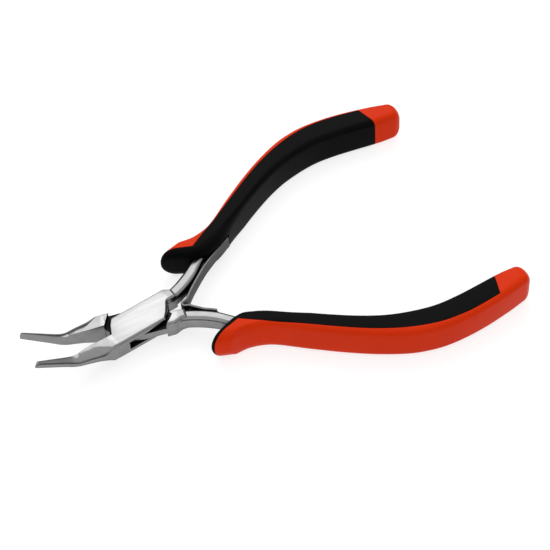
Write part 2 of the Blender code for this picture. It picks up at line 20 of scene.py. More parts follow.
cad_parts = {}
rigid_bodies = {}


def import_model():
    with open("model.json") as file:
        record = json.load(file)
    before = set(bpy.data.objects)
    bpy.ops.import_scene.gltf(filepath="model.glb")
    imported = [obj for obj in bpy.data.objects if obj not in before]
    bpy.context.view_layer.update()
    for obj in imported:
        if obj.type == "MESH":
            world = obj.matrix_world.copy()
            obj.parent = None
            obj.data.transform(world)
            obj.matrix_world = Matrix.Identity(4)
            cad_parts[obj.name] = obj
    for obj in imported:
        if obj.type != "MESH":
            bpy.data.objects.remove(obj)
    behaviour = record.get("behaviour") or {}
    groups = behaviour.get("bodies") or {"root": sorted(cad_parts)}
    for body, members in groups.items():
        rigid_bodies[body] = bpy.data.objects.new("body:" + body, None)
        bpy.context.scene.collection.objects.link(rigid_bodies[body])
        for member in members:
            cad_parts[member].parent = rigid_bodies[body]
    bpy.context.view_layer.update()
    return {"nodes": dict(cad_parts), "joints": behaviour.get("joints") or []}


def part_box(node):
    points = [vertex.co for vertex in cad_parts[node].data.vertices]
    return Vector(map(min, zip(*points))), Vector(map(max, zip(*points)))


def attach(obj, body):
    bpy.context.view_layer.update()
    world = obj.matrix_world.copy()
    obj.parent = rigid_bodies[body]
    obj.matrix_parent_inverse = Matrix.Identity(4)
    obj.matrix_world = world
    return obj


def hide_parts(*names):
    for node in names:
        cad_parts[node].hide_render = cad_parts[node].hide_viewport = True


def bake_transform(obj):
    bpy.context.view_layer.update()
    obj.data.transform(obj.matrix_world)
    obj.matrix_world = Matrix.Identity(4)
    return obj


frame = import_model()

# %% [markdown]
# ## The frame of one half
#
# Everything is drawn in millimetres in the frame of one shut half: the pivot at the origin, the
# handle towards +X and +Y, the jaw towards -X and -Y.  That is how a toolmaker would draw it too,
# because both forgings come from nearly the same die.  The other half is the mirror image in Y, and
# each half is then turned about the pin to where the spring holds it.

# %% Where the pin stands and how far the halves are open
MM = 0.001
joint = frame["joints"][0]
PIN = Vector(joint["pos_m"])
BOX_BODY = joint["parent"]
TENON_BODY = joint["child"]
REST_HALF_ANGLE = joint["range_deg"][1] / 2
print("pin at", [round(value, 5) for value in PIN], "each half is open", REST_HALF_ANGLE, "degrees")
for node in sorted(frame["nodes"]):
    low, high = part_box(node)
    print(f"{node:24s}", [round((b - a) / MM, 1) for a, b in zip(low, high)], "mm")

# %% [markdown]
# ## Small tools used by every piece
#
# A forging, a moulding and a strip of spring steel are all shapes that change slowly along a path.
# So the main tool is a loft: a row of rings with the same number of points, joined by quads and
# capped at both ends.  Holes and slots are cut afterwards with Booleans, as a milling cutter would.

# %% Lofts, slabs and cuts
workshop = bpy.data.collections.new("workshop")
bpy.context.scene.collection.children.link(workshop)


def keep_mesh(name, bm):
    """Turn a bmesh into an object whose faces point outwards."""
    bmesh.ops.recalc_face_normals(bm, faces=bm.faces)
    if bm.calc_volume(signed=True) < 0:
        bmesh.ops.reverse_faces(bm, faces=bm.faces)
    mesh = bpy.data.meshes.new(name)
    bm.to_mesh(mesh)
    bm.free()
    piece = bpy.data.objects.new(name, mesh)
    workshop.objects.link(piece)
    return piece


def loft(name, rings):
    """A closed solid through rings of equal point count (points in mm)."""
    bm = bmesh.new()
    grid = [[bm.verts.new(Vector(point) * MM) for point in ring] for ring in rings]
    for first, second in zip(grid, grid[1:]):
        for i in range(len(first)):
            j = (i + 1) % len(first)
            bm.faces.new((first[i], first[j], second[j], second[i]))
    bm.faces.new(grid[0])
    bm.faces.new(grid[-1])
    return keep_mesh(name, bm)


def slab(name, outline, z_low, z_high):
    """A flat outline pulled up between two heights."""
    bottom = [(x, y, z_low) for x, y in outline]
    top = [(x, y, z_high) for x, y in outline]
    return loft(name, [bottom, top])


def lathe(name, profile, steps=64):
    """A turned part: a profile of (radius, height) pairs spun about Z."""
    rings = []
    for radius, height in profile:
        angles = [2 * math.pi * step / steps for step in range(steps)]
        rings.append([(radius * math.cos(a), radius * math.sin(a), height) for a in angles])
    return loft(name, rings)


def combine(piece, other, operation):
    """A Boolean with a piece that is used up."""
    modifier = piece.modifiers.new(operation.lower(), "BOOLEAN")
    modifier.operation = operation
    modifier.solver = "MANIFOLD"
    modifier.object = other
    graph = bpy.context.evaluated_depsgraph_get()
    mesh = bpy.data.meshes.new_from_object(piece.evaluated_get(graph))
    piece.modifiers.clear()
    piece.data = mesh
    bpy.data.objects.remove(other, do_unlink=True)


print("solid tools: loft, slab, lathe and combine, working in", workshop.name)

# %% [markdown]
# The paths that those lofts follow are drawn with a few points each.  A Catmull-Rom curve
# runs smoothly through them, and reading it again at equal spacing keeps the mesh even, which
# polished steel needs, because its reflections show every uneven row.

# %% Lines and sections
def smooth_line(points, steps):
    """A smooth curve through given points, read `steps` times between each two."""
    padded = [points[0], *points, points[-1]]
    line = []
    for a, b, c, d in zip(padded, padded[1:], padded[2:], padded[3:]):
        for step in range(steps):
            t = step / steps
            line.append(tuple(
                0.5 * (2 * q + (r - p) * t + (2 * p - 5 * q + 4 * r - s) * t * t
                       + (3 * q - p - 3 * r + s) * t * t * t)
                for p, q, r, s in zip(a, b, c, d)))
    line.append(tuple(points[-1]))
    return line


def by_length(line, count):
    """The line read again at equal spacing."""
    vectors = [Vector(point) for point in line]
    lengths = [0.0]
    for a, b in zip(vectors, vectors[1:]):
        lengths.append(lengths[-1] + (b - a).length)
    result = []
    index = 0
    for step in range(count):
        goal = lengths[-1] * step / (count - 1)
        while index < len(lengths) - 2 and lengths[index + 1] < goal:
            index += 1
        piece = lengths[index + 1] - lengths[index]
        share = (goal - lengths[index]) / piece if piece else 0.0
        result.append(vectors[index].lerp(vectors[index + 1], min(1.0, share)))
    return result


def directions(line):
    last = len(line) - 1
    return [(line[min(last, i + 1)] - line[max(0, i - 1)]).normalized() for i in range(len(line))]


def offset_line(line, distance):
    """The line moved to its left."""
    moved = []
    for point, tangent in zip(line, directions(line)):
        moved.append(point + Vector((-tangent.y, tangent.x)) * distance)
    return moved


def rounded_ring(centre, side, half_width, half_thickness, corner, steps=9):
    """A rectangle with round corners, in the plane of `side` and Z."""
    corner = min(corner, half_width * 0.98, half_thickness * 0.98)
    ring = []
    for quarter, (u_sign, z_sign) in enumerate(((1, 1), (-1, 1), (-1, -1), (1, -1))):
        for step in range(steps + 1):
            angle = math.radians(90 * quarter + 90 * step / steps)
            u = u_sign * (half_width - corner) + corner * math.cos(angle)
            z = z_sign * (half_thickness - corner) + corner * math.sin(angle)
            ring.append((centre.x + side.x * u, centre.y + side.y * u, z))
    return ring


quarter_turn = by_length(smooth_line([(1, 0), (0.7, 0.7), (0, 1)], 8), 5)
print("a quarter turn read at equal spacing:", [tuple(round(v, 2) for v in point) for point in quarter_turn])

# %% [markdown]
# A finished piece must sit at the origin with its place in its mesh.  `set_in_place` mirrors the
# piece if it belongs to the tongue half, turns it about the pin, moves it to the pin and cleans the
# mesh: doubles merged, faces smooth, and edges sharper than a set angle kept crisp.

# %% Putting a piece in place
SHARP_ANGLE = 17.0
MERGE_DISTANCE = 1e-6


def half_matrix(mirrored):
    turn = -REST_HALF_ANGLE if mirrored else REST_HALF_ANGLE
    place = Matrix.Translation(PIN) @ Matrix.Rotation(math.radians(turn), 4, "Z")
    if mirrored:
        place = place @ Matrix.Diagonal((1, -1, 1, 1))
    return place


def clean(piece, sharp_angle):
    bm = bmesh.new()
    bm.from_mesh(piece.data)
    bmesh.ops.remove_doubles(bm, verts=bm.verts, dist=MERGE_DISTANCE)
    bmesh.ops.recalc_face_normals(bm, faces=bm.faces)
    if bm.calc_volume(signed=True) < 0:
        bmesh.ops.reverse_faces(bm, faces=bm.faces)
    bm.to_mesh(piece.data)
    bm.free()
    piece.data.shade_smooth()
    piece.data.set_sharp_from_angle(angle=math.radians(sharp_angle))


def set_in_place(piece, mirrored, material):
    piece.data.transform(half_matrix(mirrored))
    clean(piece, SHARP_ANGLE)
    piece.data.materials.clear()
    piece.data.materials.append(material)
    triangles = sum(len(face.vertices) - 2 for face in piece.data.polygons)
    print(f"{piece.name:28s} {triangles:7d} triangles, {material.name}")
    return piece


print("edges sharper than", SHARP_ANGLE, "degrees stay crisp")

# %% [markdown]
# ## Finishes
#
# Four finishes cover the tool: forged steel that is ground on its cheeks and polished on its sides,
# darker spring steel, smooth injection-moulded plastic and satin soft rubber.  Each is a
# small node tree on Object coordinates, so the pattern stays with the piece when the tool closes.
# The helpers below keep those trees short: a node with its inputs set, and a value that wanders
# between two limits with noise.

# %% Node helpers
EVEN = (1.0, 1.0, 1.0)


def start_material(name):
    material = bpy.data.materials.new(name)
    material.use_nodes = True
    return material, material.node_tree, material.node_tree.nodes["Principled BSDF"]


def node(tree, kind, **values):
    """Add a node; words with a capital set inputs, the others set its properties."""
    added = tree.nodes.new(kind)
    for key, value in values.items():
        if key[0].isupper():
            added.inputs[key.replace("_", " ")].default_value = value
        else:
            setattr(added, key, value)
    return added


def stretched_noise(tree, scale, size, detail=3.0):
    """Noise on Object coordinates; `scale` stretches it along each axis."""
    place = node(tree, "ShaderNodeTexCoord")
    mapping = node(tree, "ShaderNodeMapping", Scale=scale)
    noise = node(tree, "ShaderNodeTexNoise", Scale=size, Detail=detail)
    tree.links.new(place.outputs["Object"], mapping.inputs["Vector"])
    tree.links.new(mapping.outputs["Vector"], noise.inputs["Vector"])
    return noise.outputs["Fac"]


def spread(tree, source, low, high, from_low=0.3, from_high=0.7):
    """Move a value from one range to another."""
    remap = node(tree, "ShaderNodeMapRange")
    limits = {"From Min": from_low, "From Max": from_high, "To Min": low, "To Max": high}
    for name, value in limits.items():
        remap.inputs[name].default_value = value
    tree.links.new(source, remap.inputs["Value"])
    return remap.outputs["Result"]


def mix_colours(tree, factor, first, second):
    """Mix two colours, each a fixed colour or a socket."""
    mixer = node(tree, "ShaderNodeMix", data_type="RGBA")
    for index, colour in ((6, first), (7, second)):
        if isinstance(colour, tuple):
            mixer.inputs[index].default_value = (*colour, 1.0)
        else:
            tree.links.new(colour, mixer.inputs[index])
    tree.links.new(factor, mixer.inputs[0])
    return mixer.outputs[2]


def soft_edges(tree, shader, radius_mm, height, strength, distance_mm):
    """Edges broken by a small radius, with a fine relief on top."""
    edge = node(tree, "ShaderNodeBevel", samples=6, Radius=radius_mm * MM)
    bump = node(tree, "ShaderNodeBump", Strength=strength, Distance=distance_mm * MM)
    tree.links.new(height, bump.inputs["Height"])
    tree.links.new(edge.outputs["Normal"], bump.inputs["Normal"])
    tree.links.new(bump.outputs["Normal"], shader.inputs["Normal"])
    return edge


print("node tools: noise, spread, mixed colours and soft edges")

# %% [markdown]
# ### Forged steel
#
# The flat cheeks are ground: fine straight scratches, bright and satin.  The sides and the jaws are
# polished and a little darker.  Two masks tell them apart: the piece's own normal points along the
# pin, and the place is near the pin, where the grinding wheel has been.  The tongue's milled faces
# lie deeper, near the middle plane, and are painted nearly black as painted shade for the gap they
# sit in.  An ambient-occlusion node paints shade into the colour of the inner corners.  A Bevel node
# breaks the edges, but not at the pin's rim, which is ground flush.

# %% Polished and ground steel
FLAT_FROM, FLAT_AT = 0.95, 0.995            # share of the normal that points along the pin
WHEEL_REACH = (10.0, 11.0)                  # mm from the middle of the pin, as are the next two
PIN_RIM = (4.0, 4.6)
MILLED_DEPTH = (1.3, 1.6)
CLOUD_SIZE = 420.0
SCRATCH_STRETCH = (60.0, 2600.0, 2600.0)
# Reach of the painted shade in the inner corners, in mm.
CORNER_SHADE_REACH = 3.0
EDGE_RADIUS = 0.22
RIM_RADIUS = 0.01
POLISHED = (0.26, 0.26, 0.264)
GROUND = (0.43, 0.43, 0.432)
# Painted shade: near black for the tongue's milled faces and the inner corners.
SHADE_BLACK = (0.012, 0.012, 0.013)
# Painted shade for the inner corners of the pin and the rivet.
PIN_CORNER_SHADE = (0.015, 0.015, 0.015)
SPRING_POLISHED = (0.11, 0.11, 0.115)
SPRING_GROUND = (0.2, 0.2, 0.21)


def shaded(colour, share):
    return tuple(value * share for value in colour)


# The last colour is painted shade, used in the inner corners and on the tongue's milled faces.
def make_steel(name, polished, ground, shade_colour):
    material, tree, shader = start_material(name)
    place = node(tree, "ShaderNodeTexCoord")
    facing = node(tree, "ShaderNodeSeparateXYZ")
    tree.links.new(place.outputs["Normal"], facing.inputs["Vector"])
    upright = node(tree, "ShaderNodeMath", operation="ABSOLUTE")
    tree.links.new(facing.outputs["Z"], upright.inputs[0])
    flat = spread(tree, upright.outputs["Value"], 0.0, 1.0, FLAT_FROM, FLAT_AT)
    reach = node(tree, "ShaderNodeVectorMath", operation="DISTANCE")
    reach.inputs[1].default_value = PIN
    tree.links.new(place.outputs["Object"], reach.inputs[0])
    near, far = WHEEL_REACH
    wheel_reach = spread(tree, reach.outputs["Value"], 1.0, 0.0, near * MM, far * MM)
    on_cheek = node(tree, "ShaderNodeMath", operation="MULTIPLY")
    tree.links.new(flat, on_cheek.inputs[0])
    tree.links.new(wheel_reach, on_cheek.inputs[1])
    spot = node(tree, "ShaderNodeSeparateXYZ")
    tree.links.new(place.outputs["Object"], spot.inputs["Vector"])
    above = node(tree, "ShaderNodeMath", operation="SUBTRACT")
    above.inputs[1].default_value = PIN.z
    tree.links.new(spot.outputs["Z"], above.inputs[0])
    off_plane = node(tree, "ShaderNodeMath", operation="ABSOLUTE")
    tree.links.new(above.outputs["Value"], off_plane.inputs[0])
    # Flat faces near the middle plane are painted nearly black: painted shade.
    near, far = MILLED_DEPTH
    deep = spread(tree, off_plane.outputs["Value"], 1.0, 0.0, near * MM, far * MM)
    milled_shade = node(tree, "ShaderNodeMath", operation="MULTIPLY")
    tree.links.new(flat, milled_shade.inputs[0])
    tree.links.new(deep, milled_shade.inputs[1])
    cloud = stretched_noise(tree, EVEN, CLOUD_SIZE)
    scratch = stretched_noise(tree, SCRATCH_STRETCH, 1.0, 4.0)
    polish = mix_colours(tree, spread(tree, cloud, 0.0, 1.0), polished, shaded(polished, 0.88))
    wheel = mix_colours(tree, spread(tree, scratch, 0.0, 1.0), ground, shaded(ground, 0.95))
    face = mix_colours(tree, on_cheek.outputs["Value"], polish, wheel)
    face = mix_colours(tree, milled_shade.outputs["Value"], face, shade_colour)
    # Ambient occlusion paints shade into the base colour in inner corners and gaps.
    corner = node(tree, "ShaderNodeAmbientOcclusion", samples=6, Distance=CORNER_SHADE_REACH * MM)
    clear = spread(tree, corner.outputs["AO"], 0.0, 1.0, 0.4, 0.8)
    tree.links.new(mix_colours(tree, clear, shade_colour, face), shader.inputs["Base Color"])
    rough = node(tree, "ShaderNodeMix", data_type="FLOAT")
    tree.links.new(on_cheek.outputs["Value"], rough.inputs[0])
    tree.links.new(spread(tree, cloud, 0.16, 0.24), rough.inputs[2])
    tree.links.new(spread(tree, scratch, 0.32, 0.42), rough.inputs[3])
    tree.links.new(rough.outputs[0], shader.inputs["Roughness"])
    shader.inputs["Metallic"].default_value = 1.0
    shader.inputs["Specular Tint"].default_value = (0.5, 0.5, 0.5, 1.0)
    edge = soft_edges(tree, shader, EDGE_RADIUS, scratch, 0.08, 0.02)
    near, far = PIN_RIM
    radius = spread(tree, reach.outputs["Value"], RIM_RADIUS * MM, EDGE_RADIUS * MM, near * MM, far * MM)
    tree.links.new(radius, edge.inputs["Radius"])
    print("finish:", name)
    return material


steel = make_steel("polished_steel", POLISHED, GROUND, SHADE_BLACK)
pin_steel = make_steel("ground_pin_steel", POLISHED, GROUND, PIN_CORNER_SHADE)
spring_steel = make_steel("spring_steel", SPRING_POLISHED, SPRING_GROUND, SHADE_BLACK)

# %% [markdown]
# ### Orange plastic
#
# The hard core is injection moulded in a polished mould: smooth, with a barely wavy skin and a
# slightly deeper colour where the plastic flowed last.  A slow noise carries the colour and the
# roughness together, and a fine one gives the skin's waviness.

# %% Orange plastic
ORANGE = (0.67, 0.032, 0.0022)
DEEP_ORANGE = (0.6, 0.027, 0.0018)
FLOW_SIZE = 60.0
PEEL_SIZE = 1500.0
orange, tree, shader = start_material("orange_plastic")
flow = stretched_noise(tree, EVEN, FLOW_SIZE)
tint = mix_colours(tree, spread(tree, flow, 0.0, 1.0), ORANGE, DEEP_ORANGE)
tree.links.new(tint, shader.inputs["Base Color"])
peel = stretched_noise(tree, EVEN, PEEL_SIZE, 2.0)
tree.links.new(spread(tree, flow, 0.26, 0.32), shader.inputs["Roughness"])
shader.inputs["Specular IOR Level"].default_value = 0.05
soft_edges(tree, shader, 0.2, peel, 0.03, 0.01)
print("finish:", orange.name)

# %% [markdown]
# ### Black rubber
#
# The soft skin is a satin thermoplastic rubber.  Its mould is lightly spark-eroded, which leaves a
# fine grain that spreads the highlights, and hands polish it slightly in patches.

# %% Black rubber
BLACK = (0.0022, 0.0022, 0.0024)
WORN_BLACK = (0.0038, 0.0038, 0.004)
PATCH_SIZE = 90.0
GRAIN_SIZE = 5200.0
rubber, tree, shader = start_material("black_rubber")
patch = stretched_noise(tree, EVEN, PATCH_SIZE)
tint = mix_colours(tree, spread(tree, patch, 0.0, 1.0), BLACK, WORN_BLACK)
tree.links.new(tint, shader.inputs["Base Color"])
grain = stretched_noise(tree, EVEN, GRAIN_SIZE, 2.0)
tree.links.new(spread(tree, patch, 0.36, 0.46), shader.inputs["Roughness"])
shader.inputs["Specular IOR Level"].default_value = 0.03
soft_edges(tree, shader, 0.25, grain, 0.1, 0.02)
print("finish:", rubber.name)

# %% [markdown]
# ## The two forgings
#
# Each half is one forging: jaw, joint and handle bar.  The jaw is a half-round taper with a flat
# gripping face; near its end it bends by about thirty degrees out of the plane of the handles, so
# that the tips reach round a corner.  Half ellipses along the jaw give that shape, and the joint's
# flat faces cut them off near the pivot.

# %% The jaw
JOINT_THICKNESS = 5.8
JOINT_HALF_WIDTH = 4.65
JAW_LENGTH = 31.3
JAW_BEND_AT = 20.5
JAW_BEND_ANGLE = 31.5
JAW_GAP = 0.15
JAW_TIP_RADIUS = 1.0
JAW_POINTS = 49
JAW_RELIEF = 0.3
JAW_RELIEF_FROM = 14.0
JAW_RELIEF_RUN = 5.0
JAW_CUT_BEFORE_BEND = 2.0
CUT_INSET = 0.02            # how far the jaw stays inside the joint's faces
SMALLEST_STEP = 0.004
BEND_RISE = 0.1
BEND_SPREAD = 1.5
BEND_LOSS = (0.4, 0.25)     # depth and half height lost at the bend
TIP_LOSS = (0.55, 0.4)      # depth and half height lost where the tip starts
TIP_ROUND = 0.34
EDGE_BREAK = 0.6
# Station along X, depth in Y, half height in Z, height of the centre.
JAW_SECTIONS = [
    (-7.0, 8.0, 6.0, 0.0),
    (-9.0, 6.8, 5.4, 0.0),
    (-11.0, 5.4, 3.9, 0.15),
    (-13.0, 4.6, 3.0, 0.3),
    (-15.0, 4.0, 2.45, 0.5),
    (-17.0, 3.4, 2.15, 0.65),
    (-19.0, 2.8, 1.8, 0.7),
]


def even_points(path, count):
    """The path read at equal spacing, with its sharp corners kept."""
    even = by_length(path, count)
    for before, corner, after in zip(path, path[1:], path[2:]):
        if (corner - before).angle(after - corner) > math.radians(25):
            nearest = min(range(1, count - 1), key=lambda index: (even[index] - corner).length)
            even[nearest] = corner
    return even


def jaw_ring(centre, along, depth, half_height, gap):
    """A half ellipse with its flat on the gripping side, cut off by the joint's faces and chamfers."""
    limit = JOINT_THICKNESS / 2 - CUT_INSET
    across = Vector((-along.z, 0.0, along.x))
    if across.z < 0:
        across = -across
    path = []
    for step in range(361):
        angle = math.radians(-90 + step / 2)
        y = gap + depth * math.cos(angle)
        point = centre + across * (half_height * math.sin(angle))
        if centre.x > JAW_CUT_BEFORE_BEND - JAW_BEND_AT:
            y = min(y, JOINT_HALF_WIDTH - CUT_INSET)
            point.z = max(-limit, min(limit, point.z))
            over_bevel = y + abs(point.z) - (JOINT_HALF_WIDTH + limit - EDGE_BREAK)
            if over_bevel > 0:
                y -= over_bevel / 2
                point.z -= math.copysign(over_bevel / 2, point.z)
        place = Vector((point.x, -y, point.z))
        if not path or (place - path[-1]).length > SMALLEST_STEP:
            path.append(place)
    return [tuple(point) for point in even_points(path, JAW_POINTS)]


def centre_height(x, z):
    """The jaw's centre line: nearly level, then a soft bend, then the straight tip."""
    slope = math.tan(math.radians(JAW_BEND_ANGLE))
    last_z = JAW_SECTIONS[-1][3]
    corner_z = last_z + BEND_RISE
    past = -JAW_BEND_AT - x
    if past < -BEND_SPREAD:
        return z
    if past > BEND_SPREAD:
        return corner_z + past * slope
    t = (past + BEND_SPREAD) / (2 * BEND_SPREAD)
    return last_z * (1 - t) ** 2 + 2 * corner_z * t * (1 - t) + (corner_z + BEND_SPREAD * slope) * t * t


def build_jaw(name):
    last = JAW_SECTIONS[-1]
    at_bend = (-JAW_BEND_AT, last[1] - BEND_LOSS[0], last[2] - BEND_LOSS[1], last[3])
    sections = [*JAW_SECTIONS, at_bend]
    tip_run = JAW_LENGTH - TIP_ROUND - JAW_BEND_AT
    for share in (0.25, 0.5, 0.75, 1.0):
        depth = (last[1] - TIP_LOSS[0]) * (1 - share) + JAW_TIP_RADIUS * share
        half = (last[2] - TIP_LOSS[1]) * (1 - share) + JAW_TIP_RADIUS * share
        sections.append((-JAW_BEND_AT - tip_run * share, depth, half, last[3]))
    line = [(x, depth, half, centre_height(x, z)) for x, depth, half, z in smooth_line(sections, 7)]
    rings = []
    for index, (x, depth, half, z) in enumerate(line):
        before = line[max(0, index - 1)]
        after = line[min(len(line) - 1, index + 1)]
        along = Vector((after[0] - before[0], 0.0, after[3] - before[3])).normalized()
        relief = min(1.0, max(0.0, (x + JAW_RELIEF_FROM) / JAW_RELIEF_RUN))
        gap = JAW_GAP + JAW_RELIEF * relief
        rings.append(jaw_ring(Vector((x, 0.0, z)), along, depth, half, gap))
    tip_x, depth, half, tip_z = line[-1]
    for shrink, share in ((0.94, 0.35), (0.8, 0.75), (0.55, 1.0)):
        centre = Vector((tip_x, 0.0, tip_z)) + along * TIP_ROUND * share
        middle = centre - Vector((0.0, JAW_GAP + depth * 0.45, 0.0))
        ring = jaw_ring(centre, along, depth, half, JAW_GAP)
        rings.append([tuple(middle + (Vector(point) - middle) * shrink) for point in ring])
    return loft(name, rings)


print("jaw:", JAW_LENGTH, "mm from the pin, bent by", JAW_BEND_ANGLE, "degrees at", JAW_BEND_AT, "mm")

# %% [markdown]
# The handle bar leaves the joint as a thick shank and thins to a tang where the grip hides it.
# Only the shank shows, so its section matters: a rectangle with corners so round that the light
# runs along it in bands.

# %% The handle bar
SHANK_HALF_WIDTH = 1.85
SHANK_HALF_THICKNESS = 2.25
TANG_HALF_WIDTH = 1.4
TANG_HALF_THICKNESS = 1.5
BAR_LINE = [(9.4, 2.25), (12.0, 2.3), (15.7, 3.4), (19.6, 5.2), (23.0, 7.5), (26.0, 9.5), (30.0, 11.5),
            (36.0, 14.1), (42.0, 17.0), (50.0, 20.8), (58.0, 24.0), (66.0, 26.2)]
BAR_FULL_UNTIL = 3
BAR_THIN_FROM = 7
BAR_STATIONS = 66
BAR_ROUNDNESS = 0.72


def build_bar(name, extra):
    line = by_length(smooth_line(BAR_LINE, 8), BAR_STATIONS)
    full_until = BAR_LINE[BAR_FULL_UNTIL][0]
    thin_from = BAR_LINE[BAR_THIN_FROM][0]
    rings = []
    for point, tangent in zip(line, directions(line)):
        share = min(1.0, max(0.0, (point.x - full_until) / (thin_from - full_until)))
        width = SHANK_HALF_WIDTH + (TANG_HALF_WIDTH - SHANK_HALF_WIDTH) * share + extra
        thick = SHANK_HALF_THICKNESS + (TANG_HALF_THICKNESS - SHANK_HALF_THICKNESS) * share + extra
        side = Vector((-tangent.y, tangent.x))
        rings.append(rounded_ring(point, side, width, thick, width * BAR_ROUNDNESS))
    return loft(name, rings)


print("shank:", 2 * SHANK_HALF_WIDTH, "x", 2 * SHANK_HALF_THICKNESS, "mm")

# %% [markdown]
# ### The box joint
#
# The box half has two cheeks with a window between them; the tongue of the other half fills that
# window and swings in it.  The window's end walls lie along the ends of the tongue when the jaws
# are shut, and the open tool leaves a small lens-shaped gap there.  The outer edges of the blank
# get a chamfer, which catches a bright line of light.

# %% Outlines of the joint
CHEEK_END = 9.1
ROOT_END = 12.4
TENON_THICKNESS = 2.1
TONGUE_CORNER = 5.6
TONGUE_SHOULDER = (9.35, 0.35)
WINDOW_REACH = 3.0
RUNNING_GAP = 0.3
PIN_RADIUS = 2.0


def box_outline():
    w = JOINT_HALF_WIDTH
    return [(-6.3, w), (-7.8, 2.7), (0.05 - CHEEK_END, 0.2), (-CHEEK_END - 0.3, -0.5), (-CHEEK_END - 0.3, -w),
            (5.6, -w), (7.35, -2.7), (CHEEK_END, 0.0), (CHEEK_END + 0.5, 0.45), (ROOT_END, 0.55),
            (ROOT_END, 3.3), (ROOT_END - 1.8, w)]


def tenon_outline():
    w = JOINT_HALF_WIDTH
    x, y = TONGUE_SHOULDER
    return [(-x, -y), (-TONGUE_CORNER, w), (ROOT_END - 3.6, w), (ROOT_END - 1.5, 3.6), (ROOT_END, 3.5),
            (ROOT_END, 0.55), (x, y), (TONGUE_CORNER, -w), (-CHEEK_END - 0.3, -w), (-CHEEK_END - 0.5, -0.6)]


def cheek_relief_outline():
    """What is milled from both faces of the tongue half so that the cheeks can lie there."""
    w = JOINT_HALF_WIDTH
    clear = CHEEK_END + RUNNING_GAP
    return [(-clear - 0.45, 0.8), (-clear - 0.05, -0.2), (-7.4, -w), (-6.9, -w - 1.2), (4.8, -w - 1.2),
            (clear + 0.6, -0.9), (clear + 0.15, 0.25), (7.85, 2.95), (6.4, w), (5.7, w + 1.2),
            (-clear, w + 1.2)]


def window_outline():
    low = Vector((-TONGUE_CORNER, -JOINT_HALF_WIDTH))
    high = Vector((-TONGUE_SHOULDER[0], TONGUE_SHOULDER[1]))
    along = (high - low).normalized()
    outward = Vector((-along.y, along.x)) * RUNNING_GAP
    low += outward - along * WINDOW_REACH
    high += outward + along * WINDOW_REACH
    one_side = [(low.x, low.y), (high.x, high.y), (high.x, -low.y)]
    return one_side + [(-x, -y) for x, y in one_side]


joint_size = (2 * CHEEK_END, 2 * JOINT_HALF_WIDTH, JOINT_THICKNESS)
print("joint:", joint_size, "mm, with a tongue of", TENON_THICKNESS, "mm")

# %% [markdown]
# A blank is a loft of the outline through the thickness, pulled in towards both faces for the
# chamfer.  The jaw and the bar are joined to it first, and the window or the tongue is milled last,
# so that no joined piece can fill what was cut.

# %% Milling the two halves
CHAMFER_STEPS = ((0.0, 1.0), (0.03, 0.9), (0.1, 0.8), (0.8, 0.1), (0.9, 0.03), (1.0, 0.0))
CUTTER_REACH = 9.0
ROUND_STEPS = 96


def inset_outline(outline, distance):
    """A closed outline moved inward, with mitred corners."""
    points = [Vector(point) for point in outline]
    area = sum(a.x * b.y - b.x * a.y for a, b in zip(points, points[1:] + points[:1]))
    inward = 1.0 if area > 0 else -1.0
    moved = []
    for index, point in enumerate(points):
        before = (point - points[index - 1]).normalized()
        after = (points[(index + 1) % len(points)] - point).normalized()
        tangent = (before + after).normalized()
        stretch = 1 / max(0.5, tangent.dot(after))
        moved.append(point + Vector((-tangent.y, tangent.x)) * inward * distance * stretch)
    return moved


def joint_blank(name, outline):
    """The joint's block: chamfered edges, the chamfer itself a little rounded at both its sides."""
    half = JOINT_THICKNESS / 2
    levels = [(-half + EDGE_BREAK * z, EDGE_BREAK * inset) for z, inset in CHAMFER_STEPS]
    levels += [(half - EDGE_BREAK * z, EDGE_BREAK * inset) for z, inset in reversed(CHAMFER_STEPS)]
    rings = [[(point.x, point.y, z) for point in inset_outline(outline, inset)] for z, inset in levels]
    body = loft(name, rings)
    bore = PIN_RADIUS + RUNNING_GAP
    combine(body, lathe("bore", [(bore, -CUTTER_REACH), (bore, CUTTER_REACH)], ROUND_STEPS), "DIFFERENCE")
    combine(body, build_jaw("jaw"), "UNION")
    combine(body, build_bar("bar", 0.0), "UNION")
    return body


box_half = joint_blank("box_half_steel", box_outline())
window_half = TENON_THICKNESS / 2 + RUNNING_GAP
combine(box_half, slab("window", window_outline(), -window_half, window_half), "DIFFERENCE")
set_in_place(box_half, False, steel)

tenon_half = joint_blank("tenon_half_steel", tenon_outline())
for side in (1, -1):
    low, high = sorted((side * TENON_THICKNESS / 2, side * CUTTER_REACH))
    combine(tenon_half, slab("relief", cheek_relief_outline(), low, high), "DIFFERENCE")
set_in_place(tenon_half, True, steel)

# %% [markdown]
# The pivot pin is pressed in and then ground flush with both cheeks together, so hardly more
# than a hair-thin ring shows.

# %% The pivot pin
PRESS_GAP = 0.003
pin_face = JOINT_THICKNESS / 2
pin_radius = PIN_RADIUS + RUNNING_GAP - PRESS_GAP
pin = lathe("pivot_pin_ground", [(pin_radius, -pin_face), (pin_radius, pin_face)], ROUND_STEPS)
set_in_place(pin, False, pin_steel)

# %% [markdown]
# ## The grips
#
# Both grips are one moulding, used left and right.  Two edge lines give the width along the grip:
# a flared nose that stops the hand from sliding onto the joint, a waist, a belly for the palm and
# a slim end.  The soft skin is moulded over the hard core, on the inner side and both faces, up to
# a colour line; it also wraps the nose.  So the core and the skin are the same loft, cut apart by
# that line.

# %% The grip's lines
GRIP_THICKNESS = 10.2
GRIP_CORNER = 1.9
NOSE_CORNER = 4.4
NOSE_FADE = 0.14
